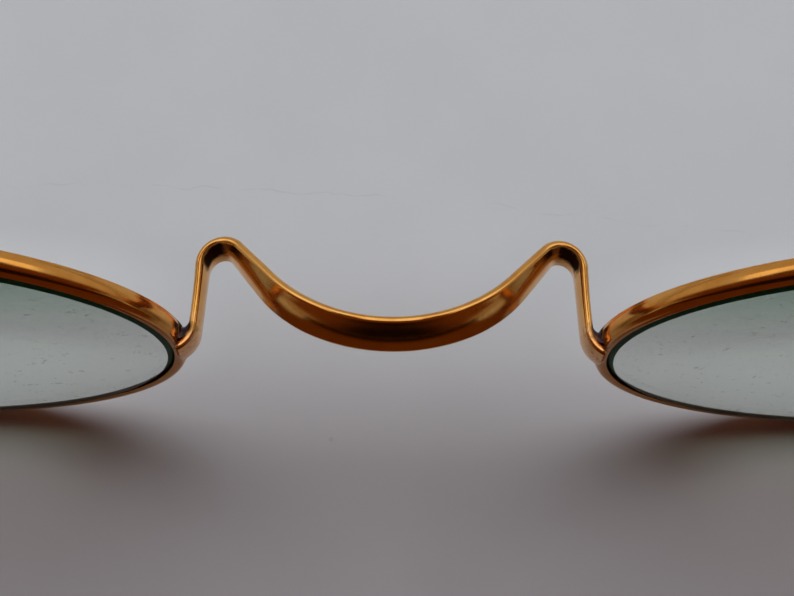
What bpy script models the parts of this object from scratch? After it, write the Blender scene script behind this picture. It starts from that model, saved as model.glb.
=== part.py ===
"""Old wire reading glasses: oval rims, a W shaped saddle bridge and straight folding temples.

The front of the glasses faces -Y, the temples run back along +Y and Z is up. They stand open on
the rims and on the ends of the temples. "Left" and "right" are the wearer's, so left is at +X.
All sizes are in millimetres and become metres when a mesh is made.
"""

import math

import bmesh
import bpy
from mathutils import Vector

MM = 0.001

# Rims: oval channel section wire
NOSE_GAP = 21.8
RIM_HALF_WIDTH = 17.8
RIM_HALF_HEIGHT = 13.5
RIM_DEPTH = 1.15
RIM_WALL = 0.66
RIM_CROWN = 0.24
GROOVE_DEPTH = 0.32
GROOVE_WIDTH = 0.8
RIM_SPLIT = 0.3

# Lenses: glass of equal front and back curves, with a wide front chamfer and a bevel for the groove
LENS_FIT = 0.12
LENS_EDGE = 1.35
LENS_PROUD = 0.1
LENS_CHAMFER = 0.43
LENS_CURVE = 400.0

# Bridge: one strip of round wire rolled flat, on edge at the feet and laid back on the crest
STRIP_WIDTH = 2.04
STRIP_THICK = 0.47
STRIP_BOW = 0.05
LEG_ANGLE = 51.4
LEG_LENGTH = 2.75
CROWN_RADIUS = 1.09
SHANK_ANGLE = 85.4
SHANK_LENGTH = 3.22
FOOT_ANGLE = 22.0
FOOT_RADIUS = 1.48
FOOT_THICK = 0.42
FOOT_WIDTH = 2.0
FOOT_RISE = 0.5
CREST_RISE = 4.43
CREST_TWIST = 35.2
TWIST_HOLD = 3.75
TWIST_FADE = 11.0
SEAT_GAP = 0.3

# End pieces: two halves that clamp the split rim and hold the temple's eye between them
HINGE_OUT = 2.9
EYE_RADIUS = 1.2
EYE_THICK = 1.0
JOINT_FIT = 0.12
EAR_RIM = 0.12
EAR_THICK = 1.1
ROOT_FRONT = 0.1
ROOT_BACK = 1.05
ROOT_LENGTH = 0.6
EAR_BEVEL = 0.18

# Hinge screws
SCREW_RADIUS = 0.6
SCREW_HEAD_RADIUS = 1.0
SCREW_HEAD_HEIGHT = 0.45
SCREW_DOME = 0.12
SCREW_TAIL = 0.2
SCREW_SLOT = 0.3
SCREW_SLOT_DEPTH = 0.22

# Temples: a flat eye brazed to a straight wire that ends in a thin spatula
FOLD_CLEARANCE = 0.5
NECK_FLAT = 2.4
JOINT_LENGTH = 4.4
TEMPLE_LENGTH = 108.0
WIRE_HALF_WIDTH = 0.65
WIRE_HALF_HEIGHT = 0.72
BLADE_HALF_WIDTH = 0.45
BLADE_HALF_HEIGHT = 2.2
BLADE_LENGTH = 16.0
TAPER_LENGTH = 34.0
ROLLED_LENGTH = 21.0

# Facets
OVAL_STEPS = 64
ROUND_STEPS = 24
SMOOTH_ANGLE = 40.0

GOLD = (0.72, 0.43, 0.17)
GOLD_DARK = (0.55, 0.31, 0.11)
GLASS = (0.72, 0.80, 0.75)


# Places worked out from the sizes

LENS_X = NOSE_GAP / 2 + RIM_HALF_WIDTH
LENS_Z = RIM_HALF_HEIGHT
LENS_INSET = RIM_WALL + LENS_FIT
LENS_HALF_WIDTH = RIM_HALF_WIDTH - LENS_INSET
LENS_SAG = LENS_HALF_WIDTH ** 2 / (2 * LENS_CURVE)
LENS_BACK = LENS_EDGE - LENS_PROUD + LENS_SAG
HINGE_X = LENS_X + RIM_HALF_WIDTH + HINGE_OUT
HINGE_Y = max(RIM_DEPTH, LENS_BACK) + FOLD_CLEARANCE + WIRE_HALF_WIDTH
HINGE_Z = LENS_Z
EAR_RADIUS = EYE_RADIUS + EAR_RIM
EAR_INNER = EYE_THICK / 2 + JOINT_FIT
EAR_OUTER = EAR_INNER + EAR_THICK


def temple_slope():
    """Angle at which the temple falls so that the round end of its blade touches the table."""
    run = TEMPLE_LENGTH - BLADE_HALF_HEIGHT - NECK_FLAT
    reach = math.hypot(HINGE_Z, run)
    return math.acos(BLADE_HALF_HEIGHT / reach) - math.atan2(run, HINGE_Z)


TEMPLE_SLOPE = temple_slope()


def clear_scene():
    """Remove the objects of the scene that the script starts in."""
    for item in list(bpy.data.objects):
        bpy.data.objects.remove(item, do_unlink=True)


def make_material(name, colour, metallic, roughness, alpha=1.0):
    """One plain surface."""
    material = bpy.data.materials.new(name)
    material.use_nodes = True
    shader = material.node_tree.nodes["Principled BSDF"]
    shader.inputs["Base Color"].default_value = (*colour, 1.0)
    shader.inputs["Metallic"].default_value = metallic
    shader.inputs["Roughness"].default_value = roughness
    shader.inputs["Alpha"].default_value = alpha
    return material


def gold_material(name):
    return make_material(name, GOLD, 1.0, 0.2)


def screw_material(name):
    return make_material(name, GOLD_DARK, 1.0, 0.35)


def glass_material(name):
    return make_material(name, GLASS, 0.0, 0.05, 0.35)


def make_object(name, mesh_data, material, place, parent):
    """Turn a bmesh in millimetres round its own origin into an object at a place."""
    bmesh.ops.recalc_face_normals(mesh_data, faces=mesh_data.faces)
    bmesh.ops.scale(mesh_data, vec=(MM, MM, MM), verts=mesh_data.verts)
    mesh = bpy.data.meshes.new(name)
    mesh_data.to_mesh(mesh)
    mesh_data.free()
    item = bpy.data.objects.new(name, mesh)
    bpy.context.scene.collection.objects.link(item)
    item.location = Vector(place) * MM
    item.parent = parent
    if material is not None:
        mesh.materials.append(material)
    mesh.shade_smooth()
    mesh.set_sharp_from_angle(angle=math.radians(SMOOTH_ANGLE))
    return item


def make_empty(name, place, parent):
    """A marker that pieces hang from."""
    empty = bpy.data.objects.new(name, None)
    bpy.context.scene.collection.objects.link(empty)
    empty.location = Vector(place) * MM
    empty.parent = parent
    return empty


def make_cutter(name, mesh_data, place, parent):
    """A solid that only cuts others."""
    cutter = make_object(name, mesh_data, None, place, parent)
    cutter.hide_render = True
    cutter.display_type = "WIRE"
    return cutter


def cut(item, cutter):
    """Take the cutter's shape out of a piece."""
    modifier = item.modifiers.new(cutter.name, "BOOLEAN")
    modifier.operation = "DIFFERENCE"
    modifier.solver = "EXACT"
    modifier.object = cutter


def loft(rings):
    """Skin a row of rings and close its two ends with flat caps."""
    mesh_data = bmesh.new()
    rows = [[mesh_data.verts.new(point) for point in ring] for ring in rings]
    size = len(rows[0])
    for near, far in zip(rows, rows[1:]):
        for index in range(size):
            after = (index + 1) % size
            mesh_data.faces.new((near[index], near[after], far[after], far[index]))
    mesh_data.faces.new(rows[0])
    mesh_data.faces.new(rows[-1])
    return mesh_data


def prism(outline, low, high):
    """Extrude a plan outline from one height to another."""
    return loft([[(x, y, z) for x, y in outline] for z in (low, high)])


def turned(profile):
    """Turn a list of (radius, height) points round Z."""
    rings = []
    for radius, height in profile:
        turns = [2 * math.pi * step / ROUND_STEPS for step in range(ROUND_STEPS)]
        rings.append([(radius * math.cos(turn), radius * math.sin(turn), height) for turn in turns])
    return loft(rings)


def box(low, high):
    """A block between two corners."""
    outline = [(low[0], low[1]), (high[0], low[1]), (high[0], high[1]), (low[0], high[1])]
    return prism(outline, low[2], high[2])


def smooth_step(value):
    """Ease from 0 to 1."""
    value = min(1.0, max(0.0, value))
    return value * value * (3 - 2 * value)


def oval_point(inset, turn):
    """Point of the lens outline, set in from the rim's outer side, round the lens centre."""
    across = (RIM_HALF_WIDTH - inset) * math.cos(turn)
    up = (RIM_HALF_HEIGHT - inset) * math.sin(turn)
    return across, up


def rim_section():
    """Inset and depth of the corners of the channel: a bowed outer side and a V groove inside."""
    arc_steps = 6
    corners = []
    for step in range(arc_steps + 1):
        share = step / arc_steps
        corners.append((RIM_CROWN * (2 * share - 1) ** 2, RIM_DEPTH * share))
    middle = RIM_DEPTH / 2
    corners.append((RIM_WALL, RIM_DEPTH))
    corners.append((RIM_WALL, middle + GROOVE_WIDTH / 2))
    corners.append((RIM_WALL - GROOVE_DEPTH, middle))
    corners.append((RIM_WALL, middle - GROOVE_WIDTH / 2))
    corners.append((RIM_WALL, 0.0))
    return corners


def rim_turns():
    """Angles of the rim's stations, from one lip of the split to the other."""
    split = math.asin(RIM_SPLIT / 2 / RIM_HALF_HEIGHT)
    inner = [2 * math.pi * step / OVAL_STEPS for step in range(1, OVAL_STEPS)]
    return [split] + inner + [2 * math.pi - split]


def make_eyewire(name, side, parent):
    """One rim, split at its temple side."""
    rings = []
    for turn in rim_turns():
        ring = []
        for inset, depth in rim_section():
            across, up = oval_point(inset, turn)
            ring.append((side * across, depth, up))
        rings.append(ring)
    return make_object(name, loft(rings), gold_material(name), (side * LENS_X, 0.0, LENS_Z), parent)


def lens_face(share, inset, face):
    """Ring of the front (face -1) or back (face +1) curve, at a share of the lens outline."""
    edge = -LENS_PROUD if face < 0 else LENS_EDGE - LENS_PROUD
    widest = RIM_HALF_WIDTH - inset
    ring = []
    for step in range(OVAL_STEPS):
        across, up = oval_point(inset, 2 * math.pi * step / OVAL_STEPS)
        reach = share * share * (across * across + up * up)
        bulge = (widest * widest - reach) / (2 * LENS_CURVE)
        ring.append((share * across, edge + face * bulge, share * up))
    return ring


def lens_band(inset, depth):
    """Ring of the lens edge at one depth."""
    ring = []
    for step in range(OVAL_STEPS):
        across, up = oval_point(inset, 2 * math.pi * step / OVAL_STEPS)
        ring.append((across, depth, up))
    return ring


def make_lens(name, side, parent):
    """One lens: two shallow curves, a front chamfer down to the groove and the bevel in it."""
    middle = RIM_DEPTH / 2
    bevel = GROOVE_WIDTH / 2
    tip = LENS_INSET - GROOVE_DEPTH
    shares = (0.04, 0.35, 0.7, 1.0)
    rings = [lens_face(share, LENS_INSET + LENS_CHAMFER, -1) for share in shares]
    rings.append(lens_band(LENS_INSET, middle - bevel))
    rings.append(lens_band(tip, middle))
    rings.append(lens_band(LENS_INSET, middle + bevel))
    rings.extend(lens_face(share, LENS_INSET, 1) for share in reversed(shares))
    return make_object(name, loft(rings), glass_material(name), (side * LENS_X, 0.0, LENS_Z), parent)


def arc_run(place, heading, radius, turn, steps):
    """Points along an arc that starts at a place and heading. A positive turn goes left."""
    points = []
    part = turn / steps
    chord = 2 * radius * math.sin(abs(part) / 2)
    for _ in range(steps):
        middle = heading + part / 2
        place = place + chord * Vector((math.cos(middle), math.sin(middle)))
        heading += part
        points.append((place, heading))
    return points


def straight_run(place, heading, length):
    """The end of a straight length."""
    return [(place + length * Vector((math.cos(heading), math.sin(heading))), heading)]


def bridge_route():
    """Half of the W in plan: crest, leg, crown, shank and foot, as places with headings.

    The crest's radius is what makes the feet reach the two rims.
    """
    leg = math.radians(LEG_ANGLE)
    shank = -math.radians(SHANK_ANGLE)
    foot = -math.radians(FOOT_ANGLE)
    after_crest = [(Vector((0.0, 0.0)), leg)]
    after_crest += straight_run(*after_crest[-1], LEG_LENGTH)
    after_crest += arc_run(*after_crest[-1], CROWN_RADIUS, shank - leg, 12)
    after_crest += straight_run(*after_crest[-1], SHANK_LENGTH / 2)
    after_crest += straight_run(*after_crest[-1], SHANK_LENGTH / 2)
    shank_end = after_crest[-1][0]
    after_crest += arc_run(*after_crest[-1], FOOT_RADIUS, foot - shank, 6)

    reach = NOSE_GAP / 2 - SEAT_GAP - STRIP_THICK / 2
    crest_radius = (reach - shank_end.x) / math.sin(leg)
    crest = [(Vector((0.0, 0.0)), 0.0)]
    crest += arc_run(*crest[-1], crest_radius, leg, 14)
    shift = crest[-1][0]
    route = crest + [(shift + place, heading) for place, heading in after_crest[1:]]

    front = -SEAT_GAP - FOOT_THICK / 4
    drop = Vector((0.0, front - route[-1][0].y))
    return [(place + drop, heading) for place, heading in route]


def strip_section(width, thick):
    """Corners of the rolled strip: slightly bowed sides and full round edges."""
    reach = (width - thick) / 2
    steps = 6
    corners = []
    for way in (1, -1):
        for step in range(steps + 1):
            turn = math.pi * step / steps
            u = reach + thick / 2 * math.sin(turn)
            corners.append((way * u, way * thick / 2 * math.cos(turn)))
        corners.append((0.0, -way * (thick / 2 + STRIP_BOW)))
    return corners


def bridge_rings():
    """Rings of the half strip from its middle to the foot, twisted on the crest."""
    route = bridge_route()
    lengths = [0.0]
    for (start, _), (end, _) in zip(route, route[1:]):
        lengths.append(lengths[-1] + (end - start).length)
    total = lengths[-1]
    foot_start = total - FOOT_RADIUS * math.radians(SHANK_ANGLE - FOOT_ANGLE)
    rings = []
    for (place, heading), length in zip(route, lengths):
        share = length / total
        rise = FOOT_RISE + (CREST_RISE - FOOT_RISE) * (1 + math.cos(math.pi * share)) / 2
        twist = math.radians(CREST_TWIST) * (1 - smooth_step((length - TWIST_HOLD) / TWIST_FADE))
        worn = max(0.0, length - foot_start) / (total - foot_start)
        thick = STRIP_THICK + (FOOT_THICK - STRIP_THICK) * smooth_step(worn)
        width = STRIP_WIDTH + (FOOT_WIDTH - STRIP_WIDTH) * worn ** 2
        back = Vector((-math.sin(heading), math.cos(heading), 0.0))
        up = Vector((0.0, 0.0, 1.0))
        wide = up * math.cos(twist) + back * math.sin(twist)
        deep = back * math.cos(twist) - up * math.sin(twist)
        centre = Vector((place.x, place.y, LENS_Z + rise))
        rings.append([centre + wide * u + deep * v for u, v in strip_section(width, thick)])
    return rings


def make_bridge(parent):
    """The saddle bridge, its two halves mirrored about the nose."""
    half = bridge_rings()
    mirrored = [[Vector((-point.x, point.y, point.z)) for point in ring] for ring in reversed(half[1:])]
    return make_object("bridge", loft(mirrored + half), gold_material("bridge"), (0, 0, 0), parent)


def tangent_turn(point, radius, way):
    """Angle on a circle round the origin where the line from an outside point touches it."""
    base = math.atan2(point.y, point.x)
    return base + way * math.acos(radius / point.length)


def ear_outline():
    """Plan of an end piece round the hinge axis: a root at the rim and a round ear."""
    root_x = ROOT_LENGTH - HINGE_OUT
    inner_x = root_x - ROOT_LENGTH - RIM_WALL
    front = Vector((root_x, ROOT_FRONT - HINGE_Y))
    back = Vector((root_x, ROOT_BACK - HINGE_Y))
    start = tangent_turn(front, EAR_RADIUS, 1)
    end = tangent_turn(back, EAR_RADIUS, -1)
    while end < start:
        end += 2 * math.pi
    while end - start > 2 * math.pi:
        end -= 2 * math.pi
    outline = [Vector((inner_x, front.y)), front]
    steps = 12
    for step in range(steps + 1):
        turn = start + (end - start) * step / steps
        outline.append(EAR_RADIUS * Vector((math.cos(turn), math.sin(turn))))
    outline += [back, Vector((inner_x, back.y))]
    return outline


def rim_cutter(side, parent):
    """The room that the rim takes out of its end pieces."""
    rings = []
    for depth in (-RIM_DEPTH, 3 * RIM_DEPTH):
        ring = []
        for step in range(2 * OVAL_STEPS):
            across, up = oval_point(-SEAT_GAP, math.pi * step / OVAL_STEPS)
            ring.append((across, depth, up))
        rings.append(ring)
    return make_cutter("cut_rim_" + side_name(side), loft(rings), (side * LENS_X, 0, LENS_Z), parent)


def slot_cutter(side, parent):
    """The slot for the temple's eye."""
    wide = 4 * EAR_RADIUS
    front = -EYE_RADIUS - JOINT_FIT
    block = box((-wide, front, -EAR_INNER), (wide, wide, EAR_INNER))
    return make_cutter("cut_slot_" + side_name(side), block, hinge_place(side), parent)


def bore_cutter(side, parent):
    """The screw's hole."""
    radius = SCREW_RADIUS + JOINT_FIT
    drill = turned([(radius, -2 * EAR_OUTER), (radius, 2 * EAR_OUTER)])
    return make_cutter("cut_bore_" + side_name(side), drill, hinge_place(side), parent)


def hinge_place(side):
    """Where the hinge axis meets the middle of the temple's eye."""
    return side * HINGE_X, HINGE_Y, HINGE_Z


def side_name(side):
    return "left" if side > 0 else "right"


def make_endpiece(name, side, way, cutters, parent):
    """Upper (way +1) or lower (way -1) half of an end piece."""
    outline = [(side * point.x, point.y) for point in ear_outline()]
    body = prism(outline, way * RIM_SPLIT / 2, way * EAR_OUTER)
    item = make_object(name, body, gold_material(name), hinge_place(side), parent)
    bevel = item.modifiers.new("rounded", "BEVEL")
    bevel.width = EAR_BEVEL * MM
    bevel.segments = 2
    bevel.limit_method = "ANGLE"
    bevel.angle_limit = math.radians(SMOOTH_ANGLE)
    for cutter in cutters:
        cut(item, cutter)
    return item


def make_screw(name, side, parent):
    """Slotted screw: its head lies on the upper ear and its tail shows under the lower one."""
    seat = EAR_OUTER + JOINT_FIT
    head = seat + SCREW_HEAD_HEIGHT
    tail = -EAR_OUTER - SCREW_TAIL
    profile = [
        (SCREW_RADIUS - SCREW_DOME, tail),
        (SCREW_RADIUS, tail + SCREW_DOME),
        (SCREW_RADIUS, seat),
        (SCREW_HEAD_RADIUS, seat),
        (SCREW_HEAD_RADIUS, head - SCREW_DOME),
        (SCREW_HEAD_RADIUS - 2 * SCREW_DOME, head),
    ]
    item = make_object(name, turned(profile), screw_material(name), hinge_place(side), parent)
    reach = 2 * SCREW_HEAD_RADIUS
    low = (-reach, -SCREW_SLOT / 2, head - SCREW_SLOT_DEPTH)
    high = (reach, SCREW_SLOT / 2, head + SCREW_SLOT_DEPTH)
    cut(item, make_cutter("cut_driver_" + side_name(side), box(low, high), hinge_place(side), parent))
    return item


def rounded_ring(half_width, half_height, depth, rise):
    """Ring of a section with round corners, square to the temple's run."""
    radius = 0.92 * min(half_width, half_height)
    steps = 3
    ring = []
    for quarter in range(4):
        corner_x = (half_width - radius) * (1 if quarter in (0, 3) else -1)
        corner_z = (half_height - radius) * (1 if quarter in (0, 1) else -1)
        for step in range(steps + 1):
            turn = math.pi / 2 * (quarter + step / steps)
            x = corner_x + radius * math.cos(turn)
            z = corner_z + radius * math.sin(turn)
            ring.append((x, depth, rise + z))
    return ring


def temple_rise(depth):
    """Height of the temple's middle line against the hinge."""
    return -max(0.0, depth - NECK_FLAT) * math.tan(TEMPLE_SLOPE)


def make_temple_joint(name, side, bore, parent):
    """The flat eye that turns on the screw, with the neck that carries the wire."""
    half = EYE_THICK / 2
    last = math.pi - math.asin(WIRE_HALF_WIDTH / EYE_RADIUS)
    first = 0.16 * math.pi
    steps = 6
    rings = []
    for step in range(steps + 1):
        turn = first + (last - first) * step / steps
        width = EYE_RADIUS * math.sin(turn)
        rings.append(rounded_ring(width, half, -EYE_RADIUS * math.cos(turn), 0.0))
    rings.append(rounded_ring(WIRE_HALF_WIDTH, half, NECK_FLAT, 0.0))
    middle = (NECK_FLAT + JOINT_LENGTH) / 2
    rings.append(rounded_ring(WIRE_HALF_WIDTH, (half + WIRE_HALF_HEIGHT) / 2, middle, temple_rise(middle)))
    rings.append(rounded_ring(WIRE_HALF_WIDTH, WIRE_HALF_HEIGHT, JOINT_LENGTH, temple_rise(JOINT_LENGTH)))
    item = make_object(name, loft(rings), gold_material(name), (0, 0, 0), parent)
    cut(item, bore)
    return item


def temple_stations():
    """Depth, half width and half height along the temple, from its neck to the round end."""
    round_start = TEMPLE_LENGTH - BLADE_HALF_HEIGHT
    blade_start = TEMPLE_LENGTH - BLADE_LENGTH
    taper_start = blade_start - TAPER_LENGTH
    start = JOINT_LENGTH + SEAT_GAP
    stations = [(start, 0.0), ((start + taper_start) / 2, 0.0)]
    taper_steps = 12
    for step in range(taper_steps + 1):
        stations.append((taper_start + TAPER_LENGTH * step / taper_steps, step / taper_steps))
    profile = []
    for depth, share in stations:
        thin = smooth_step((depth - taper_start) / ROLLED_LENGTH)
        tall = smooth_step(share) ** 1.5
        half_width = WIRE_HALF_WIDTH + (BLADE_HALF_WIDTH - WIRE_HALF_WIDTH) * thin
        half_height = WIRE_HALF_HEIGHT + (BLADE_HALF_HEIGHT - WIRE_HALF_HEIGHT) * tall
        profile.append((depth, half_width, half_height))
    end_turns = [0.0, TEMPLE_SLOPE] + [math.radians(angle) for angle in (20, 35, 50, 63, 74)]
    for turn in end_turns:
        depth = round_start + BLADE_HALF_HEIGHT * math.sin(turn)
        profile.append((depth, BLADE_HALF_WIDTH, BLADE_HALF_HEIGHT * math.cos(turn)))
    return profile


def make_temple(name, parent):
    """The straight temple wire with its spatula end."""
    rings = [
        rounded_ring(half_width, half_height, depth, temple_rise(depth))
        for depth, half_width, half_height in temple_stations()
    ]
    return make_object(name, loft(rings), gold_material(name), (0, 0, 0), parent)


def make_side(side, root):
    """Everything on one side of the nose."""
    label = side_name(side)
    make_eyewire("eyewire_" + label, side, root)
    make_lens("lens_" + label, side, root)
    bore = bore_cutter(side, root)
    cutters = [rim_cutter(side, root), slot_cutter(side, root), bore]
    make_endpiece("endpiece_upper_" + label, side, 1, cutters, root)
    make_endpiece("endpiece_lower_" + label, side, -1, cutters, root)
    make_screw("hinge_screw_" + label, side, root)
    hinge = make_empty("temple_hinge_" + label, hinge_place(side), root)
    make_temple_joint("temple_joint_" + label, side, bore, hinge)
    make_temple("temple_" + label, hinge)


def centre_footprint(root):
    """Bring the middle of the glasses' length over the origin."""
    bpy.context.view_layer.update()
    depths = []
    for item in bpy.context.scene.objects:
        if item.type == "MESH" and not item.hide_render:
            depths.extend((item.matrix_world @ vertex.co).y for vertex in item.data.vertices)
    root.location.y -= (min(depths) + max(depths)) / 2
    bpy.context.view_layer.update()


def main():
    clear_scene()
    root = make_empty("reading_glasses", (0, 0, 0), None)
    make_bridge(root)
    for side in (1, -1):
        make_side(side, root)
    centre_footprint(root)
    hinge = bpy.data.objects["temple_hinge_left"].matrix_world.translation
    print("left hinge at", [round(value * 1000, 3) for value in hinge])
    print("rim front at y", round(root.location.y * 1000, 3))
    print("temple slope", round(math.degrees(TEMPLE_SLOPE), 3))


main()
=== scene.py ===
"""Looks for the wire reading glasses: camera, table, light, finer pieces and materials.

Sizes are in millimetres from the nose's middle (x), the rims' front plane (y) and the table (z),
and become metres in the model's frame when a mesh is made. "Left" is the wearer's left, at +X.
"""

import math

import bmesh
import bpy
from mathutils import Matrix, Vector, noise


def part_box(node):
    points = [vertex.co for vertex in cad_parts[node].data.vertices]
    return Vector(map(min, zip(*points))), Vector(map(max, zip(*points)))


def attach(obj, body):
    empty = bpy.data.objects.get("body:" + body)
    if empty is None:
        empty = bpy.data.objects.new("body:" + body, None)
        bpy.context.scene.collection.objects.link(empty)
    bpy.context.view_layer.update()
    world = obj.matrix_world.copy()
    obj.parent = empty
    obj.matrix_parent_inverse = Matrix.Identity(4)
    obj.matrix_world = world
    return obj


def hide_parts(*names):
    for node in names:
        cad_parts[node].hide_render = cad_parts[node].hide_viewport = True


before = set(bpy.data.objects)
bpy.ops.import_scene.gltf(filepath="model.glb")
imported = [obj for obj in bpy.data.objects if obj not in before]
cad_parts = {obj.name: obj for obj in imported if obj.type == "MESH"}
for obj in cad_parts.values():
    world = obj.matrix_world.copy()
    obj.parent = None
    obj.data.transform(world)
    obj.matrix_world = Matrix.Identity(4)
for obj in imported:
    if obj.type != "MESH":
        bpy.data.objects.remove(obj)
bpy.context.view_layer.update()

MM = 0.001
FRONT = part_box("eyewire_left")[0].y / MM

# Rims
NOSE_GAP = 21.8
RIM_HALF_WIDTH = 17.8
RIM_HALF_HEIGHT = 13.5
RIM_DEPTH = 1.15
RIM_WALL = 0.73
RIM_CROWN = 0.24
RIM_CORNER = 0.16
RIM_LIP_CORNER = 0.05
RIM_FRONT_ROUND = 0.45
RIM_FRONT_FLAT = 0.06
ROUND_UNTIL = 168.0
ROUND_FADE = 25.0
GROOVE_DEPTH = 0.32
GROOVE_WIDTH = 0.8
RIM_SPLIT = 0.3
OVAL_STEPS = 240

# Lenses. A share of 1 is the inner edge of the chamfer.
LENS_FIT = 0.09
LENS_EDGE = 1.24
LENS_PROUD = 0.01
LENS_CHAMFER = 0.27
LOW_CHAMFER_LOSS = 0.7
LENS_CURVE = 400.0
LENS_SHARES = (0.01, 0.15, 0.3, 0.45, 0.6, 0.75, 0.88, 0.93, 0.965, 1.0)
# Where the painted green reflection near the lens edge starts, and how far it fades in
GREEN_REFLECTION_FROM = 0.45
GREEN_REFLECTION_FADE = 0.43
LOSS_FROM = 0.88
LOSS_FADE = 0.085
LOW_LOSS_SHIFT = 0.14

# Bridge
STRIP_WIDTH = 2.04
STRIP_THICK = 0.47
STRIP_BOW = 0.1
LEG_ANGLE = 51.4
LEG_LENGTH = 2.75
CROWN_RADIUS = 1.09
SHANK_ANGLE = 85.4
SHANK_LENGTH = 3.22
FOOT_ANGLE = 22.0
FOOT_RADIUS = 1.48
FOOT_THICK = 0.42
FOOT_WIDTH = 2.0
FOOT_RISE = 0.5
FOOT_END = 0.22
CREST_RISE = 4.43
CREST_TWIST = 35.2
TWIST_HOLD = 3.75
TWIST_FADE = 11.0
SEAT_GAP = 0.3

# Solder fillets at the bridge's feet: how far they reach back, and how deep they bite
SOLDER_FRONT = 0.06
SOLDER_LEAST = 0.12
SOLDER_ON_STRIP = 1.45
SOLDER_ON_RIM = 0.85
SOLDER_BITE = 0.06
SOLDER_INSET = 0.12

LENS_X = NOSE_GAP / 2 + RIM_HALF_WIDTH
LENS_Z = RIM_HALF_HEIGHT
LENS_INSET = RIM_WALL + LENS_FIT

# Gold: places of dark bloom, of the dark seam and of worn metal that also paints a lighter
# reflection on the left side, and colours
BLOOM_SPOT = (10.85, 0.85, 14.6)
SEAM_SPOT = (11.02, -0.05, 14.35)
WEAR_AND_SHEEN_SPOT = (11.0, -0.1, 13.2)
# The dark colour below is tarnish at the joints and also the painted shade in the hollow of the
# bridge's tight bends
TARNISH_AND_SHADE = (0.028, 0.010, 0.003)
WEAR_AND_SHEEN_GOLD = (0.95, 0.56, 0.29)
BRIDGE_GOLD = ((0.83, 0.43, 0.115), (0.74, 0.34, 0.075))
RIM_GOLD = ((0.80, 0.372, 0.08), (0.72, 0.305, 0.058))
HINGE_GOLD = ((0.78, 0.42, 0.12), (0.69, 0.35, 0.09))
SCREW_BRASS = ((0.70, 0.46, 0.20), (0.46, 0.28, 0.12))
GOLD_ROUGHNESS = 0.16
SCREW_ROUGHNESS = 0.2
SOLDER_COLOURS = ((0.028, 0.014, 0.02), (0.16, 0.075, 0.045))

# Glass
CLEAR_GLASS = (1.0, 1.0, 1.0)
# Painted green reflection in the upper lens near its edge
UPPER_GREEN_REFLECTION = (0.80, 1.0, 0.90)
SPECK_TINT = (0.45, 0.45, 0.42)
GLASS_BODY = (0.65, 0.98, 0.76, 1.0)
GLASS_DENSITY = 110.0
LIGHT_PASSED = (0.98, 0.895, 0.91)
LIGHT_AT_BEVEL = (0.17, 0.13, 0.11)
BEVEL_GREENS = ((0.013, 0.075, 0.028), (0.02, 0.11, 0.045))
BEVEL_BROWN = (0.016, 0.014, 0.006)

# Table, room and cards
TABLE_HALF_SIZE = 2.5
# Painted shade in front of the glasses, and the open table's colour
TABLE_SHADED = (0.405, 0.378, 0.388)
TABLE_LIT = (0.695, 0.70, 0.72)
TABLE_FAR = (0.42, 0.43, 0.445, 1.0)
PHOTOGRAPHER = (0.004, 0.002, 0.001)
ROOM_FRONT = (0.11, 0.036, 0.008)
ROOM_BESIDE = (0.38, 0.33, 0.30)
ROOM_BACK = (0.45, 0.43, 0.42)
ROOM_FILL = (0.073, 0.020, 0.010)
ROOM_SEEN = (0.46, 0.47, 0.48)
CARD_FAR = (0.008, 0.003, 0.001)
CARD_NEAR = (0.085, 0.028, 0.004)

# A card: name, rows of depth, height, near side and far side, and the depths where it fades out
CARDS = (
    (
        "card_low",
        ((-900, 1.0, -1440, 1440), (-60, 1.0, -96, 96), (-25, 0.8, -60, 60), (-3, 0.6, -60, 60)),
        (-7.0, -3.0),
    ),
    (
        "card_hood_left",
        ((-26, 118, 36, 80), (0, 122, 36, 80), (20, 118, 36, 80)),
        (16.0, 20.0),
    ),
    (
        "card_hood_right",
        ((-26, 118, -80, -36), (0, 122, -80, -36), (20, 118, -80, -36)),
        (16.0, 20.0),
    ),
)

# A lamp: name, place, aim, size in metres, watts, colour, and whether only the metal mirrors it
LAMPS = (
    ("window", (0, 170, 416), (0, 0, 10), (0.5, 0.25), 1.57, (0.87, 0.96, 1.0), False),
    ("softbox_top", (0, -33, 450), (0, -32, 0), (0.8, 0.157), 0.36, (1.0, 0.99, 0.97), True),
    ("softbox_back", (0, 237, 450), (0, 238, 0), (1.2, 0.385), 0.95, (0.98, 0.99, 1.0), True),
)

# Camera, in pixels of the photograph's frame and degrees
PHOTO_WIDTH = 794.0
SENSOR_WIDTH = 36.0
FOCAL = 1204.5
TILT = 71.45
YAW_PIXELS = -5.49
PITCH_PIXELS = 53.29
ROLL = 0.70
CAMERA_PLACE = (0.0, -20.41, LENS_Z + 60.82)

scene = bpy.context.scene


def world_point(x, y, z):
    return Vector((x, y + FRONT, z)) * MM


def smooth_step(value):
    value = min(1.0, max(0.0, value))
    return value * value * (3 - 2 * value)


def side_label(side):
    return "left" if side > 0 else "right"


# Shader building

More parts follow.
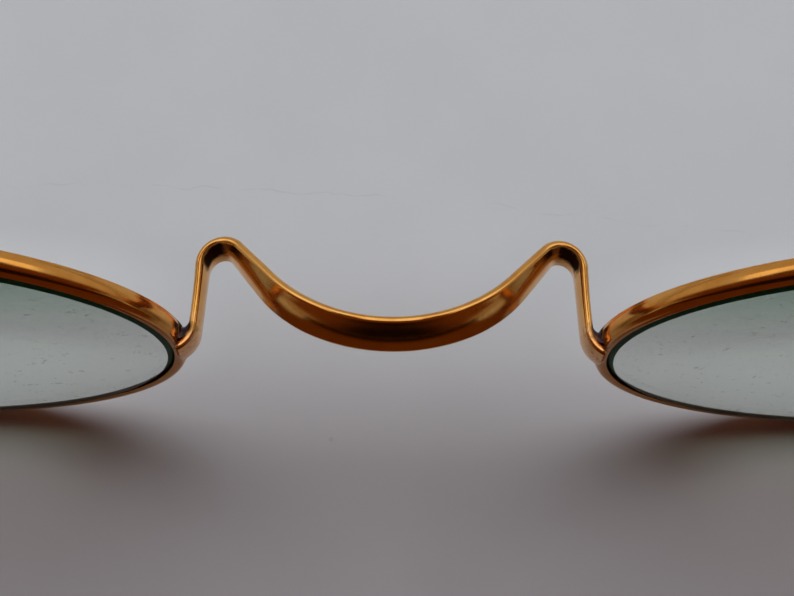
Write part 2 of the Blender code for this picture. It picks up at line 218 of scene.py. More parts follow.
class Nodes:
    """Short hand for the node tree of one material or of the world."""

    def __init__(self, owner):
        owner.use_nodes = True
        self.tree = owner.node_tree
        self.tree.nodes.clear()

    def set_input(self, node, key, value):
        if isinstance(value, bpy.types.NodeSocket):
            self.tree.links.new(value, node.inputs[key])
        else:
            node.inputs[key].default_value = value

    def add(self, kind, values=None, **settings):
        node = self.tree.nodes.new(kind)
        for name, value in settings.items():
            setattr(node, name, value)
        for key, value in (values or {}).items():
            self.set_input(node, key, value)
        return node

    def place(self):
        return self.add("ShaderNodeTexCoord").outputs["Object"]

    def apart(self, vector):
        return self.add("ShaderNodeSeparateXYZ", {0: vector}).outputs

    def mark(self):
        return self.add("ShaderNodeAttribute", attribute_name="mark").outputs["Fac"]

    def math(self, operation, first, second=0.0):
        return self.add("ShaderNodeMath", {0: first, 1: second}, operation=operation).outputs[0]

    def noise(self, place, scale, detail=3.0, roughness=0.5, distortion=0.0):
        values = {
            "Vector": place,
            "Scale": scale,
            "Detail": detail,
            "Roughness": roughness,
            "Distortion": distortion,
        }
        return self.add("ShaderNodeTexNoise", values).outputs["Fac"]

    def range(self, value, low, high, out_low=0.0, out_high=1.0):
        values = {
            "Value": value,
            "From Min": low,
            "From Max": high,
            "To Min": out_low,
            "To Max": out_high,
        }
        node = self.add("ShaderNodeMapRange", values, interpolation_type="SMOOTHSTEP")
        return node.outputs["Result"]

    def mix(self, share, first, second):
        node = self.add("ShaderNodeMix", {0: share}, data_type="RGBA")
        for key, value in ((6, first), (7, second)):
            if isinstance(value, tuple):
                value = (*value, 1.0)
            self.set_input(node, key, value)
        return node.outputs[2]

    def stretched(self, place, scale):
        node = self.add("ShaderNodeVectorMath", {0: place, 1: scale}, operation="MULTIPLY")
        return node.outputs[0]

    def distance(self, place, point):
        node = self.add("ShaderNodeVectorMath", {0: place, 1: point}, operation="DISTANCE")
        return node.outputs["Value"]

    def mirrored_distance(self, place, spot):
        """Distance to the nearer of two spots, the given one on the left and its mirror image."""
        x, y, z = spot
        left, right = (self.distance(place, world_point(side * x, y, z)) for side in (1, -1))
        return self.math("MINIMUM", left, right)

    def ragged(self, value, place, scale, amount):
        """Value less up to amount, with an uneven edge."""
        return self.math("ADD", value, self.math("MULTIPLY", self.noise(place, scale), -amount))

    def uneven(self, value, place, scale, amount):
        """Value with a soft change of up to amount either way."""
        change = self.range(self.noise(place, scale), 0.3, 0.7, -amount, amount)
        return self.math("ADD", value, change)

    def bump(self, height, strength, distance):
        values = {"Strength": strength, "Distance": distance, "Height": height}
        return self.add("ShaderNodeBump", values).outputs["Normal"]

    def principled(self, **values):
        values = {name.replace("_", " "): value for name, value in values.items()}
        return self.add("ShaderNodeBsdfPrincipled", values).outputs[0]

    def finish(self, surface, **others):
        self.add("ShaderNodeOutputMaterial", {"Surface": surface, **others})


def joint_marks_and_shade(nodes, place):
    """Shares of dark tarnish near the bridge's solder joints, with painted shade in the hollow of
    its tight bends, and of pale rubbed-through metal there that also paints a lighter reflection.
    """
    joint = nodes.ragged(nodes.mirrored_distance(place, BLOOM_SPOT), place, 2500.0, 0.7 * MM)
    bloom_and_shade = nodes.range(joint, 0.1 * MM, 0.5 * MM, 1.0, 0.0)
    seam = nodes.ragged(nodes.mirrored_distance(place, SEAM_SPOT), place, 3500.0, 0.6 * MM)
    seam = nodes.range(seam, -0.1 * MM, 0.25 * MM, 0.85, 0.0)
    bloom_and_shade = nodes.math("MAXIMUM", bloom_and_shade, seam)
    # Painted shade in the hollow of the bridge's tight bends, read from its mark
    hollow_shade = nodes.range(nodes.uneven(nodes.mark(), place, 2200.0, 0.15), 0.15, 0.85)
    bloom_and_shade = nodes.math("MAXIMUM", bloom_and_shade, hollow_shade)
    # Pale worn metal near the foot, which also paints a lighter reflection there
    wear_and_sheen = nodes.uneven(nodes.mirrored_distance(place, WEAR_AND_SHEEN_SPOT), place, 1500.0, 0.4 * MM)
    wear_and_sheen = nodes.range(wear_and_sheen, 0.8 * MM, 2.8 * MM, 1.0, 0.0)
    wear_and_sheen = nodes.math("MULTIPLY", wear_and_sheen, nodes.math("SUBTRACT", 1.0, bloom_and_shade))
    return bloom_and_shade, wear_and_sheen


def gold_material(name, colours, rough, soldered_and_shaded):
    """Worn gold-filled wire: colour drift, fine rubs, dark tarnish at solder joints, painted shade
    in the bridge's tight bends, and rubbed-through metal with a painted lighter reflection.
    """
    material = bpy.data.materials.new(name)
    nodes = Nodes(material)
    place = nodes.place()
    drift = nodes.noise(place, 900.0, detail=4.0, roughness=0.6)
    colour = nodes.mix(nodes.range(drift, 0.35, 0.7), *colours)
    rub = nodes.noise(nodes.stretched(place, (1.0, 1.0, 3.0)), 4200.0, detail=5.0, roughness=0.7)
    roughness = nodes.range(rub, 0.3, 0.75, rough * 0.8, rough * 1.4)
    metallic = 1.0
    if soldered_and_shaded:
        bloom_and_shade, wear_and_sheen = joint_marks_and_shade(nodes, place)
        colour = nodes.mix(bloom_and_shade, colour, TARNISH_AND_SHADE)
        colour = nodes.mix(wear_and_sheen, colour, WEAR_AND_SHEEN_GOLD)
        metallic = nodes.math("SUBTRACT", 1.0, nodes.math("MULTIPLY", bloom_and_shade, 0.9))
        roughness = nodes.math("ADD", roughness, nodes.math("MULTIPLY", wear_and_sheen, 0.08))
    surface = nodes.principled(
        Base_Color=colour,
        Metallic=metallic,
        Roughness=roughness,
        Specular_IOR_Level=0.0,
        Normal=nodes.bump(nodes.noise(place, 2600.0, roughness=0.55), 0.05, 0.03 * MM),
    )
    nodes.finish(surface)
    return material


def glass_material(name):
    """Old plate glass, greener in its upper part near the edge by a painted green reflection, with
    specks of dirt.

    For light that lands on the table it is clear, but beside the bevel most of that light is lost.
    The mark holds 0 to 0.5 for the painted green reflection towards the edge, and 0.5 to 1 for the
    lost light.
    """
    material = bpy.data.materials.new(name)
    nodes = Nodes(material)
    place = nodes.place()
    smear_place = nodes.stretched(place, (1.0, 1.0, 1.6))
    smear = nodes.noise(smear_place, 700.0, detail=5.0, roughness=0.65, distortion=0.6)
    mark = nodes.mark()
    # Painted green reflection: greener in the upper lens towards its edge
    upper = nodes.range(nodes.apart(place)["Z"], (LENS_Z + 1) * MM, (LENS_Z + 10) * MM)
    green_reflection_share = nodes.math("MULTIPLY", upper, nodes.range(mark, 0.0, 0.5))
    colour = nodes.mix(green_reflection_share, CLEAR_GLASS, UPPER_GREEN_REFLECTION)
    fleck_place = nodes.stretched(place, (1.0, 1.0, 1.3))
    flecks = nodes.noise(fleck_place, 1300.0, detail=2.0, distortion=0.4)
    broken = nodes.noise(place, 5200.0, detail=2.0)
    speck = nodes.range(nodes.math("MULTIPLY", flecks, broken), 0.38, 0.45)
    shader = nodes.principled(
        Base_Color=nodes.mix(speck, colour, SPECK_TINT),
        Roughness=nodes.range(smear, 0.5, 0.8, 0.0, 0.03),
        IOR=1.47,
        Transmission_Weight=1.0,
    )
    body = nodes.add("ShaderNodeVolumeAbsorption", {"Color": GLASS_BODY, "Density": GLASS_DENSITY})
    path = nodes.add("ShaderNodeLightPath").outputs
    lit = nodes.math("MAXIMUM", path["Is Shadow Ray"], path["Is Diffuse Ray"])
    passed = nodes.mix(nodes.range(mark, 0.5, 0.95), LIGHT_PASSED, LIGHT_AT_BEVEL)
    clear = nodes.add("ShaderNodeBsdfTransparent", {"Color": passed}).outputs[0]
    surface = nodes.add("ShaderNodeMixShader", {0: lit, 1: shader, 2: clear}).outputs[0]
    nodes.finish(surface, Volume=body.outputs[0])
    return material


def glass_edge_material(name):
    """Ground bevel, opaque: painted dark bottle green for the view along the glass, darker brown
    towards the bottom.
    """
    material = bpy.data.materials.new(name)
    nodes = Nodes(material)
    place = nodes.place()
    grind = nodes.noise(place, 3000.0, detail=4.0, roughness=0.7)
    green = nodes.mix(nodes.range(grind, 0.35, 0.7), *BEVEL_GREENS)
    height = nodes.range(nodes.apart(place)["Z"], (LENS_Z - 7) * MM, (LENS_Z - 2) * MM)
    surface = nodes.principled(
        Base_Color=nodes.mix(height, BEVEL_BROWN, green),
        Roughness=nodes.range(grind, 0.3, 0.75, 0.35, 0.5),
        Specular_IOR_Level=0.12,
        Normal=nodes.bump(grind, 0.2, 0.02 * MM),
    )
    nodes.finish(surface)
    return material


def solder_material(name):
    """Old hard solder with dark bloom and dirt in it."""
    material = bpy.data.materials.new(name)
    nodes = Nodes(material)
    patch = nodes.noise(nodes.place(), 3500.0, detail=4.0, roughness=0.6)
    surface = nodes.principled(
        Base_Color=nodes.mix(nodes.range(patch, 0.45, 0.75), *SOLDER_COLOURS),
        Metallic=0.7,
        Roughness=nodes.range(patch, 0.3, 0.7, 0.5, 0.3),
        Normal=nodes.bump(patch, 0.5, 0.05 * MM),
    )
    nodes.finish(surface)
    return material


# Mesh building

def link_mesh(name, mesh_data, material):
    mesh = bpy.data.meshes.new(name)
    mesh_data.to_mesh(mesh)
    mesh_data.free()
    mesh.materials.append(material)
    item = bpy.data.objects.new(name, mesh)
    scene.collection.objects.link(item)
    return item


def make_piece(name, rings, material, sharp=40.0, marks=None):
    """Skin a row of rings into one smooth piece with a cap at both ends."""
    mesh_data = bmesh.new()
    rows = [[mesh_data.verts.new(world_point(*point)) for point in ring] for ring in rings]
    size = len(rows[0])
    for near, far in zip(rows, rows[1:]):
        for index in range(size):
            after = (index + 1) % size
            mesh_data.faces.new((near[index], near[after], far[after], far[index]))
    mesh_data.faces.new(rows[0])
    mesh_data.faces.new(rows[-1])
    bmesh.ops.recalc_face_normals(mesh_data, faces=mesh_data.faces)
    item = link_mesh(name, mesh_data, material)
    item.data.shade_smooth()
    item.data.set_sharp_from_angle(angle=math.radians(sharp))
    if marks:
        layer = item.data.attributes.new("mark", "FLOAT", "POINT")
        layer.data.foreach_set("value", [value for ring in marks for value in ring])
    return item


# Bridge

def arc_run(place, heading, radius, turn, steps):
    points = []
    part = turn / steps
    chord = 2 * radius * math.sin(abs(part) / 2)
    for _ in range(steps):
        middle = heading + part / 2
        place = place + chord * Vector((math.cos(middle), math.sin(middle)))
        heading += part
        points.append((place, heading))
    return points


def straight_run(place, heading, length, steps):
    way = Vector((math.cos(heading), math.sin(heading)))
    return [(place + way * (length * step / steps), heading) for step in range(1, steps + 1)]


def bridge_route():
    """Half of the W in plan, from its middle to the foot, as places with headings."""
    leg = math.radians(LEG_ANGLE)
    shank = -math.radians(SHANK_ANGLE)
    foot = -math.radians(FOOT_ANGLE)
    after = [(Vector((0.0, 0.0)), leg)]
    after += straight_run(*after[-1], LEG_LENGTH, 10)
    after += arc_run(*after[-1], CROWN_RADIUS, shank - leg, 40)
    after += straight_run(*after[-1], SHANK_LENGTH, 14)
    shank_end = after[-1][0]
    after += arc_run(*after[-1], FOOT_RADIUS, foot - shank, 20)
    reach = NOSE_GAP / 2 - SEAT_GAP - STRIP_THICK / 2
    crest_radius = (reach - shank_end.x) / math.sin(leg)
    crest = [(Vector((0.0, 0.0)), 0.0)]
    crest += arc_run(*crest[-1], crest_radius, leg, 48)
    shift = crest[-1][0]
    route = crest + [(shift + place, heading) for place, heading in after[1:]]
    front = -SEAT_GAP - FOOT_THICK / 4
    drop = Vector((0.0, front - route[-1][0].y))
    return [(place + drop, heading) for place, heading in route]


def strip_section(width, thick):
    """Rolled strip: slightly bowed sides and full round edges."""
    reach = (width - thick) / 2
    round_steps, side_steps = 14, 8
    corners = []
    for way in (1, -1):
        for step in range(round_steps + 1):
            turn = math.pi * step / round_steps
            u = reach + thick / 2 * math.sin(turn)
            corners.append((way * u, way * thick / 2 * math.cos(turn)))
        for step in range(1, side_steps):
            across = 1 - 2 * step / side_steps
            bow = STRIP_BOW * (1 - across * across)
            corners.append((way * reach * across, -way * (thick / 2 + bow)))
    return corners


def bridge_stations():
    """Centre, wide way, deep way, width and thickness of the half strip, middle to foot."""
    route = bridge_route()
    lengths = [0.0]
    for (start, _), (end, _) in zip(route, route[1:]):
        lengths.append(lengths[-1] + (end - start).length)
    total = lengths[-1]
    foot_start = total - FOOT_RADIUS * math.radians(SHANK_ANGLE - FOOT_ANGLE)
    up = Vector((0.0, 0.0, 1.0))
    stations = []
    for (place, heading), length in zip(route, lengths):
        half_wave = (1 + math.cos(math.pi * (length / total))) / 2
        rise = FOOT_RISE + (CREST_RISE - FOOT_RISE) * half_wave
        twist = math.radians(CREST_TWIST) * (1 - smooth_step((length - TWIST_HOLD) / TWIST_FADE))
        foot = max(0.0, length - foot_start) / (total - foot_start)
        thick = STRIP_THICK + (FOOT_THICK - STRIP_THICK) * smooth_step(foot)
        width = STRIP_WIDTH + (FOOT_WIDTH - STRIP_WIDTH) * foot ** 2
        left = total - length
        if left < FOOT_END:
            end_round = math.sqrt(max(0.02, 1 - (1 - left / FOOT_END) ** 2))
            thick *= 0.35 + 0.65 * end_round
            width *= 0.6 + 0.4 * end_round
        back = Vector((-math.sin(heading), math.cos(heading), 0.0))
        wide = up * math.cos(twist) + back * math.sin(twist)
        deep = back * math.cos(twist) - up * math.sin(twist)
        stations.append((Vector((place.x, place.y, LENS_Z + rise)), wide, deep, width, thick))
    return stations


def crown_painted_shade(stations):
    """Painted shade in the hollow of the tight bend, one value for each point of each ring.

    It lies within an angle round the bend's axis, on the strip's inner side and its upper part.
    """
    apex = max((station[0] for station in stations), key=lambda centre: centre.y)
    axis = apex - Vector((0.0, CROWN_RADIUS, 0.0))
    rings = []
    for centre, _, _, width, thick in stations:
        angle = math.atan2(centre.x - axis.x, centre.y - axis.y)
        along = smooth_step((angle + 0.75) / 0.9) * smooth_step(centre.y - apex.y + 1.5)
        values = []
        for u, v in strip_section(width, thick):
            inner = smooth_step(-v / thick * 2 - 0.2)
            upper = smooth_step((2 * u / width + 0.35) / 0.6)
            values.append(along * inner * upper)
        rings.append(values)
    return rings


def make_bridge(material):
    stations = bridge_stations()
    half = []
    for centre, wide, deep, width, thick in stations:
        half.append([centre + wide * u + deep * v for u, v in strip_section(width, thick)])
    mirrored = [[Vector((-x, y, z)) for x, y, z in ring] for ring in reversed(half[1:])]
    hollow_shade = crown_painted_shade(stations)
    item = make_piece("bridge_wire", mirrored + half, material, marks=hollow_shade[:0:-1] + hollow_shade)
    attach(item, "front")
    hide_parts("bridge")


# Rims and lenses

def oval_point(inset, turn):
    across = (RIM_HALF_WIDTH - inset) * math.cos(turn)
    up = (RIM_HALF_HEIGHT - inset) * math.sin(turn)
    return across, up


def rim_crown(depth):
    return RIM_CROWN * (2 * depth / RIM_DEPTH - 1) ** 2


def rim_section(roundness):
    """Inset and depth round the channel: bowed outside, rounded front, V groove inside."""
    steps = 8
    flat = RIM_CROWN + RIM_CORNER
    reach = RIM_CORNER + (RIM_FRONT_ROUND - RIM_CORNER) * roundness
    lip = flat + (RIM_WALL - RIM_FRONT_FLAT - flat) * roundness
    corners = []
    for step in range(steps + 1):
        turn = math.pi / 2 * step / steps
        inset = lip + (rim_crown(reach) - lip) * math.sin(turn)
        corners.append((inset, reach * (1 - math.cos(turn))))
    back = RIM_DEPTH - RIM_CORNER
    for step in range(1, steps):
        depth = reach + (back - reach) * step / steps
        corners.append((rim_crown(depth), depth))
    for step in range(steps + 1):
        turn = math.pi / 2 * (1 - step / steps)
        inset = flat + (rim_crown(back) - flat) * math.sin(turn)
        corners.append((inset, RIM_DEPTH - RIM_CORNER * (1 - math.cos(turn))))
    middle = RIM_DEPTH / 2
    for way in (1, -1):
        wall = [
            (RIM_WALL - RIM_LIP_CORNER, middle + way * middle),
            (RIM_WALL - RIM_LIP_CORNER * 0.3, middle + way * (middle - RIM_LIP_CORNER * 0.3)),
            (RIM_WALL, middle + way * (middle - RIM_LIP_CORNER)),
            (RIM_WALL, middle + way * GROOVE_WIDTH / 2),
        ]
        if way > 0:
            corners += wall + [(RIM_WALL - GROOVE_DEPTH, middle)]
        else:
            corners += reversed(wall)
    return corners


def make_rim(side, material):
    """Oval channel, split on the temple side, with a rounder front on its upper half."""
    split = math.asin(RIM_SPLIT / 2 / RIM_HALF_HEIGHT)
    turns = [split] + [2 * math.pi * step / OVAL_STEPS for step in range(2, OVAL_STEPS - 1)]
    turns.append(2 * math.pi - split)
    rings = []
    for turn in turns:
        degrees = math.degrees(turn)
        roundness = smooth_step((ROUND_UNTIL - degrees) / ROUND_FADE)
        roundness *= smooth_step(degrees / ROUND_FADE)
        ring = []
        for inset, depth in rim_section(roundness):
            across, up = oval_point(inset, turn)
            ring.append((side * (LENS_X + across), depth, LENS_Z + up))
        rings.append(ring)
    item = make_piece("rim_" + side_label(side), rings, material)
    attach(item, "front")
    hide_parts("eyewire_" + side_label(side))


def lens_turns():
    """Angle of each point of a lens ring, and how low it lies: 1 at the bottom, 0 above."""
    turns = [2 * math.pi * step / OVAL_STEPS for step in range(OVAL_STEPS)]
    return [(turn, max(0.0, -math.sin(turn))) for turn in turns]


def lens_face(share, face, side):
    """Ring on the front (-1) or back (1) face. The front chamfer is narrower at the bottom."""
    edge = -LENS_PROUD if face < 0 else LENS_EDGE - LENS_PROUD
    widest = RIM_HALF_WIDTH - LENS_INSET - LENS_CHAMFER
    ring = []
    for turn, low in lens_turns():
        chamfer = LENS_CHAMFER * (1 - LOW_CHAMFER_LOSS * low ** 2) if face < 0 else 0.0
        across, up = oval_point(LENS_INSET + chamfer, turn)
        reach = share * share * (across * across + up * up)
        bulge = (widest * widest - reach) / (2 * LENS_CURVE)
        ring.append((side * (LENS_X + share * across), edge + face * bulge, LENS_Z + share * up))
    return ring


def lens_band(inset, depth, side):
    ring = []
    for turn, _ in lens_turns():
        across, up = oval_point(inset, turn)
        ring.append((side * (LENS_X + across), depth, LENS_Z + up))
    return ring


def lens_marks():
    """Marks of one face for the glass: half for the painted green reflection, half for the light
    lost at the bevel.
    """
    marks = []
    for share in LENS_SHARES:
        green_reflection = smooth_step((share - GREEN_REFLECTION_FROM) / GREEN_REFLECTION_FADE)
        ring = []
        for _, low in lens_turns():
            loss = smooth_step((share - LOSS_FROM + LOW_LOSS_SHIFT * low) / LOSS_FADE)
            ring.append((green_reflection + loss) / 2)
        marks.append(ring)
    return marks


def make_lens(side, material, edge_material):
    middle = RIM_DEPTH / 2
    bevel = GROOVE_WIDTH / 2
    bands = [
        (LENS_INSET, middle - bevel),
        (LENS_INSET - GROOVE_DEPTH, middle),
        (LENS_INSET, middle + bevel),
    ]
    rings = [lens_face(share, -1, side) for share in LENS_SHARES]
    rings += [lens_band(inset, depth, side) for inset, depth in bands]
    rings += [lens_face(share, 1, side) for share in reversed(LENS_SHARES)]
    face_marks = lens_marks()
    marks = face_marks + [[1.0] * OVAL_STEPS] * len(bands) + face_marks[::-1]
    item = make_piece("glass_" + side_label(side), rings, material, sharp=10.0, marks=marks)
    item.data.materials.append(edge_material)
    ground = range(len(LENS_SHARES) - 1, len(LENS_SHARES) + len(bands))
    for face in item.data.polygons:
        if face.index // OVAL_STEPS in ground:
            face.material_index = 1
    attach(item, "front")
    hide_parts("lens_" + side_label(side))


# Solder at the bridge's feet

def rim_side(y, z):
    """X of the rim's outside at its nose end."""
    inset = rim_crown(y)
    up = (z - LENS_Z) / (RIM_HALF_HEIGHT - inset)
    return LENS_X - (RIM_HALF_WIDTH - inset) * math.sqrt(1 - up * up)


def strip_side(stations, y):
    """Point on the strip's rim side at depth y, with the strip's width there."""
    for (start, *_), (end, _, deep, width, thick) in zip(stations, stations[1:]):
        if end.y <= y <= start.y:
            share = (start.y - y) / (start.y - end.y)
            return start.lerp(end, share) + deep * (thick / 2), width
    return stations[-1][0], stations[-1][3]


def solder_reach(side, level, swell, longest, seed):
    """How far back the solder reaches, a little unlike from level to level."""
    lumps = 1 + 0.1 * noise.noise(Vector((side, level * 0.7, seed)))
    return SOLDER_FRONT + SOLDER_LEAST + longest * swell * lumps


def make_foot_solder(side, material):
    """Solder fillet in the crevice between the shank and the rim, in plan outlines, low to high."""
    shank_x, shank_y = 8.0, 4.0
    stations = [
        station for station in bridge_stations()
        if station[0].x > shank_x and station[0].y < shank_y
    ]
    levels, steps = 12, 8
    front = SOLDER_FRONT
    rings = []
    for level in range(levels + 1):
        up = 2 * level / levels - 1
        swell = math.sqrt(max(0.0, 1 - abs(up) ** 2.6))
        strip_reach = solder_reach(side, level, swell, SOLDER_ON_STRIP, 0.0)
        rim_reach = solder_reach(side, level, swell, SOLDER_ON_RIM, 5.0)
        strip_points = []
        for step in range(steps + 1):
            y = front + (strip_reach - front) * step / steps
            point, width = strip_side(stations, y)
            z = point.z + up * (width / 2 - SOLDER_INSET)
            strip_points.append(Vector((point.x - SOLDER_BITE, point.y, z)))
        rim_points = []
        for step in range(steps + 1):
            y = front + (rim_reach - front) * step / steps
            z = strip_points[step].z
            rim_points.append(Vector((rim_side(y, z) + SOLDER_BITE, y, z)))
        start, end = strip_points[-1], rim_points[-1]
        hollow = front + 0.45 * min(strip_reach, rim_reach)
        corner = Vector(((start.x + end.x) / 2, hollow, start.z))
        ring = strip_points
        for step in range(1, steps):
            share = step / steps
            ends = start * (1 - share) ** 2 + end * share ** 2
            ring.append(ends + corner * 2 * share * (1 - share))
        ring.extend(reversed(rim_points))
        rings.append([(side * point.x, point.y, point.z) for point in ring])
    item = make_piece("solder_foot_" + side_label(side), rings, material)
    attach(item, "front")


# Table, light and camera

def table_tone_and_lens_light(nodes, place, x, y, aside):
    """Clouding, one faint scratch, a speck, and a painted pool of the soft light that each lens
    throws down.
    """
    cloud = nodes.noise(place, 90.0, detail=4.0, roughness=0.6)
    cloud = nodes.range(cloud, 0.3, 0.7, 0.985, 1.015)
    bent = nodes.math("MULTIPLY", nodes.math("MULTIPLY", x, x), -1.6)
    line = nodes.math("ADD", bent, nodes.math("MULTIPLY", x, -0.065))
    line = nodes.math("ADD", line, (FRONT + 15.6) * MM)
    waver = nodes.range(nodes.noise(place, 260.0), 0.0, 1.0, -0.6 * MM, 0.6 * MM)
    off = nodes.math("ABSOLUTE", nodes.math("SUBTRACT", nodes.math("ADD", y, waver), line))
    faint = nodes.range(nodes.noise(place, 420.0), 0.42, 0.62, 0.0, 0.06)
    scratch = nodes.math("MULTIPLY", nodes.range(off, 0.02 * MM, 0.08 * MM, 1.0, 0.0), faint)
    speck_off = nodes.distance(place, world_point(-3.7, -1.4, 0.0))
    speck = nodes.range(speck_off, 0.1 * MM, 0.2 * MM, 0.12, 0.0)
    shade = nodes.math("SUBTRACT", cloud, nodes.math("ADD", scratch, speck))
    flatten = 2.7
    flat = nodes.add("ShaderNodeCombineXYZ", {0: aside, 1: y}).outputs[0]
    flat = nodes.stretched(flat, (1.0, flatten, 1.0))
    spread = nodes.distance(flat, (LENS_X * MM, (FRONT + 6) * MM * flatten, 0.0))
    # Painted pool of the light that each lens throws down
    painted_lens_light = nodes.range(spread, 11.5 * MM, 20.5 * MM, 0.14, 0.0)
    return nodes.math("ADD", shade, painted_lens_light)


def table_material(name):
    """Pale table with painted shade in front of the glasses, fading to a plain pale tone far away.
    """
    material = bpy.data.materials.new(name)
    nodes = Nodes(material)
    place = nodes.place()
    apart = nodes.apart(place)
    x, y = apart["X"], apart["Y"]
    aside = nodes.math("ABSOLUTE", x)
    behind = nodes.range(y, (FRONT - 6) * MM, (FRONT + 13) * MM)
    before = nodes.range(y, (FRONT - 110) * MM, (FRONT - 35) * MM, 1.0, 0.0)
    lit = nodes.math("MAXIMUM", behind, before)
    lit = nodes.math("MAXIMUM", lit, nodes.range(aside, 50 * MM, 110 * MM))
    colour = nodes.mix(lit, TABLE_SHADED, TABLE_LIT)
    shade = table_tone_and_lens_light(nodes, place, x, y, aside)
    tone = nodes.add("ShaderNodeCombineXYZ", {0: shade, 1: shade, 2: shade}).outputs[0]
    shader = nodes.principled(
        Base_Color=nodes.stretched(colour, tone),
        Roughness=0.55,
        Specular_IOR_Level=0.0,
        Normal=nodes.bump(nodes.noise(place, 1200.0, detail=4.0, roughness=0.6), 0.1, 0.1 * MM),
    )
    away = nodes.range(nodes.distance(place, world_point(0.0, 20.0, 0.0)), 130 * MM, 420 * MM)
    seen = nodes.math("MULTIPLY", away, nodes.add("ShaderNodeLightPath").outputs["Is Camera Ray"])
    pale = nodes.add("ShaderNodeEmission", {"Color": TABLE_FAR, "Strength": 1.0}).outputs[0]
    surface = nodes.add("ShaderNodeMixShader", {0: seen, 1: shader, 2: pale}).outputs[0]
    nodes.finish(surface)
    return material


def make_table():
    mesh_data = bmesh.new()
    bmesh.ops.create_grid(mesh_data, x_segments=4, y_segments=4, size=TABLE_HALF_SIZE)
    link_mesh("table", mesh_data, table_material("table_top"))


def make_world():
    """Soft room light, dim and warm in front, where the metal mirrors the dark photographer."""
    world = bpy.data.worlds.new("room")
    scene.world = world
    nodes = Nodes(world)
    way = nodes.add("ShaderNodeTexCoord").outputs["Generated"]
    apart = nodes.apart(way)
    shape = nodes.distance(nodes.stretched(way, (0.85, 1.0, 1.3)), (0.0, -1.0, 0.1))
    front = nodes.mix(nodes.range(shape, 0.3, 0.9), PHOTOGRAPHER, ROOM_FRONT)
    aside = nodes.range(nodes.math("ABSOLUTE", apart["X"]), 0.72, 0.88)
    beside = nodes.math("MULTIPLY", aside, nodes.range(apart["Z"], 0.0, 0.1, 1.0, 0.0))
    front = nodes.mix(beside, front, ROOM_BESIDE)
    mirrored = nodes.mix(nodes.range(apart["Y"], -0.15, 0.2), front, ROOM_BACK)
    path = nodes.add("ShaderNodeLightPath").outputs
    colour = nodes.mix(path["Is Diffuse Ray"], mirrored, ROOM_FILL)
    colour = nodes.mix(path["Is Camera Ray"], colour, ROOM_SEEN)
    background = nodes.add("ShaderNodeBackground", {"Color": colour, "Strength": 1.0})
    nodes.add("ShaderNodeOutputWorld", {"Surface": background.outputs[0]})


def card_material(name, fade):
    """Dim warm glow, clear past its fade and in a gap between the rims."""
    material = bpy.data.materials.new(name)
    nodes = Nodes(material)
    apart = nodes.apart(nodes.place())
    depth = nodes.math("SUBTRACT", apart["Y"], FRONT * MM)
    tone = nodes.mix(nodes.range(depth, -110 * MM, -65 * MM), CARD_FAR, CARD_NEAR)
    glow = nodes.add("ShaderNodeEmission", {"Color": tone, "Strength": 1.0}).outputs[0]
    faded = nodes.range(depth, fade[0] * MM, fade[1] * MM)
    between = nodes.range(nodes.math("ABSOLUTE", apart["X"]), 12.5 * MM, 15 * MM, 1.0, 0.0)
    gap = nodes.math("MULTIPLY", between, nodes.range(depth, -20 * MM, -12 * MM))
    share = nodes.math("MAXIMUM", faded, gap)
    clear = nodes.add("ShaderNodeBsdfTransparent").outputs[0]
    nodes.finish(nodes.add("ShaderNodeMixShader", {0: share, 1: glow, 2: clear}).outputs[0])
    return material


def make_card(name, rows, fade):
    """Dark warm card that shows in the metal and nowhere else."""
    mesh_data = bmesh.new()
    rows = [
        [mesh_data.verts.new(world_point(x, depth, height)) for x in (near, far)]
        for depth, height, near, far in rows
    ]
    for low, high in zip(rows, rows[1:]):
        mesh_data.faces.new((low[0], low[1], high[1], high[0]))
    item = link_mesh(name, mesh_data, card_material(name, fade))
    item.visible_camera = False
    item.visible_diffuse = False
    item.visible_transmission = False
    item.visible_shadow = False
    item.visible_volume_scatter = False


def make_lamp(name, place, aim, size, watts, colour, mirrored):
    """Soft lamp. A mirrored one shows in the metal only, another lights everything but that."""
    lamp = bpy.data.lights.new(name, "AREA")
    lamp.shape = "RECTANGLE"
    lamp.size, lamp.size_y = size
    lamp.energy = watts
    lamp.color = colour
    item = bpy.data.objects.new(name, lamp)
    scene.collection.objects.link(item)
    item.location = world_point(*place)
    way = world_point(*aim) - world_point(*place)
    item.rotation_euler = way.to_track_quat("-Z", "Y").to_euler()
    item.visible_camera = False
    item.visible_glossy = mirrored
    item.visible_diffuse = not mirrored


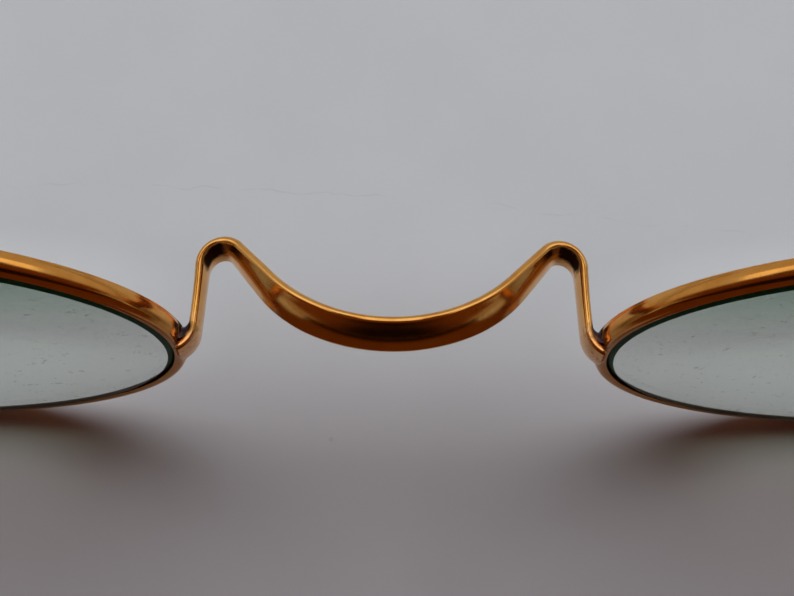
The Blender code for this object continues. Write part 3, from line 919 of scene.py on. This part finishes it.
def turned(first, second, angle):
    """Two square directions, both turned by an angle, the first towards the second."""
    return (
        first * math.cos(angle) + second * math.sin(angle),
        second * math.cos(angle) - first * math.sin(angle),
    )


def make_camera():
    """Close view from above the front, fitted to the photograph's outlines."""
    tilt = math.radians(TILT)
    forward = Vector((0.0, math.cos(tilt), -math.sin(tilt)))
    right = Vector((1.0, 0.0, 0.0))
    up = right.cross(forward)
    right, forward = turned(right, forward, math.atan(YAW_PIXELS / FOCAL))
    forward, up = turned(forward, up, math.atan(PITCH_PIXELS / FOCAL))
    right, up = turned(right, up, math.radians(ROLL))
    data = bpy.data.cameras.new("camera")
    data.sensor_fit = "HORIZONTAL"
    data.sensor_width = SENSOR_WIDTH
    data.lens = FOCAL * SENSOR_WIDTH / PHOTO_WIDTH
    data.clip_start = 0.005
    data.clip_end = 20.0
    camera = bpy.data.objects.new("camera", data)
    scene.collection.objects.link(camera)
    turn = Matrix((right, up, -forward)).transposed()
    camera.matrix_world = Matrix.Translation(world_point(*CAMERA_PLACE)) @ turn.to_4x4()
    scene.camera = camera


make_camera()
make_world()
for card in CARDS:
    make_card(*card)
make_table()
bridge_gold = gold_material("gold_wire", BRIDGE_GOLD, GOLD_ROUGHNESS, True)
rim_gold = gold_material("gold_rim", RIM_GOLD, GOLD_ROUGHNESS, True)
hinge_gold = gold_material("gold_hinge", HINGE_GOLD, GOLD_ROUGHNESS, False)
screw_brass = gold_material("screw_metal", SCREW_BRASS, SCREW_ROUGHNESS, False)
glass = glass_material("lens_glass")
glass_edge = glass_edge_material("lens_ground_edge")
solder = solder_material("solder")

make_bridge(bridge_gold)
for side in (1, -1):
    make_rim(side, rim_gold)
    make_lens(side, glass, glass_edge)
    make_foot_solder(side, solder)
    for node in ("endpiece_upper_", "endpiece_lower_", "temple_joint_", "temple_"):
        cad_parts[node + side_label(side)].data.materials[0] = hinge_gold
    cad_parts["hinge_screw_" + side_label(side)].data.materials[0] = screw_brass
for lamp in LAMPS:
    make_lamp(*lamp)

scene.view_settings.view_transform = "Standard"
